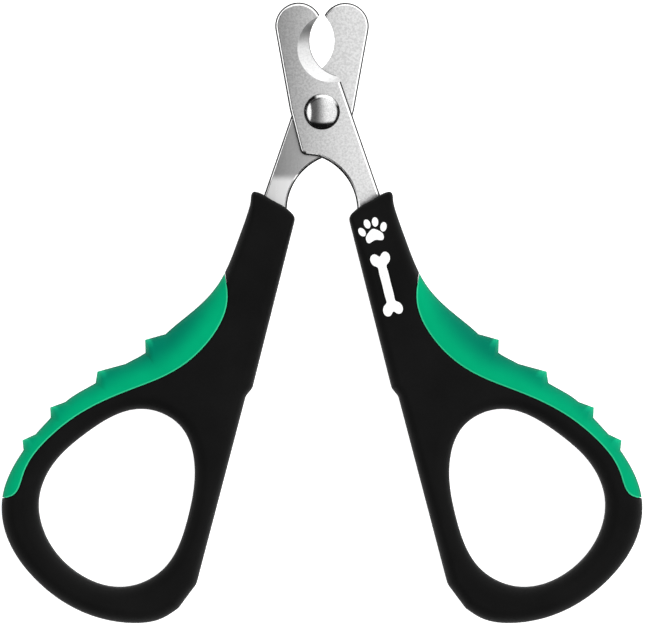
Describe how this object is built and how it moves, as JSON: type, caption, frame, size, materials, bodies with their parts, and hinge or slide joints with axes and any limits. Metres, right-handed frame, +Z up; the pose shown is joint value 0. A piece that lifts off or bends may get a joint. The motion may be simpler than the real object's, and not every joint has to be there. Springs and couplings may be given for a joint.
{
  "type": "scissor nail clipper",
  "caption": "Scissor-style pet nail clipper with half-round notched steel blades on a rivet, and black ring handles with green finned thumb grips.",
  "frame": {"origin": "middle of the bounding box, on the table the clipper lies on, with the handles half open", "axes": "+Y from the finger loops towards the blade tips, +X to the right seen from above, +Z up through the thickness"},
  "size_m": [0.1248, 0.121, 0.009],
  "materials": {
    "blade_steel": "stamped stainless steel with a fine lengthwise brushed grain",
    "rivet_steel": "polished domed steel",
    "washer_steel": "plain stamped steel",
    "core_plastic": "hard moulded plastic, hidden under the cover",
    "black_cover": "matt soft-touch rubber",
    "green_grip": "satin soft rubber",
    "white_print": "thin white ink printed on the right handle, with no node of its own"
  },
  "bodies": {
    "right_half": {"front_blade": "blade_steel", "pivot_rivet": "rivet_steel", "rivet_washer": "washer_steel", "right_handle_core": "core_plastic", "right_handle_cover": "black_cover", "right_fin_grip": "green_grip"},
    "left_half": {"back_blade": "blade_steel", "left_handle_core": "core_plastic", "left_handle_cover": "black_cover", "left_fin_grip": "green_grip"}
  },
  "joints": [
    {"name": "blade_pivot", "type": "hinge", "parent": "right_half", "child": "left_half", "pos_m": [0, 0.03915, 0.0045], "axis": [0, 0, 1], "range_deg": [-112, 28]}
  ]
}
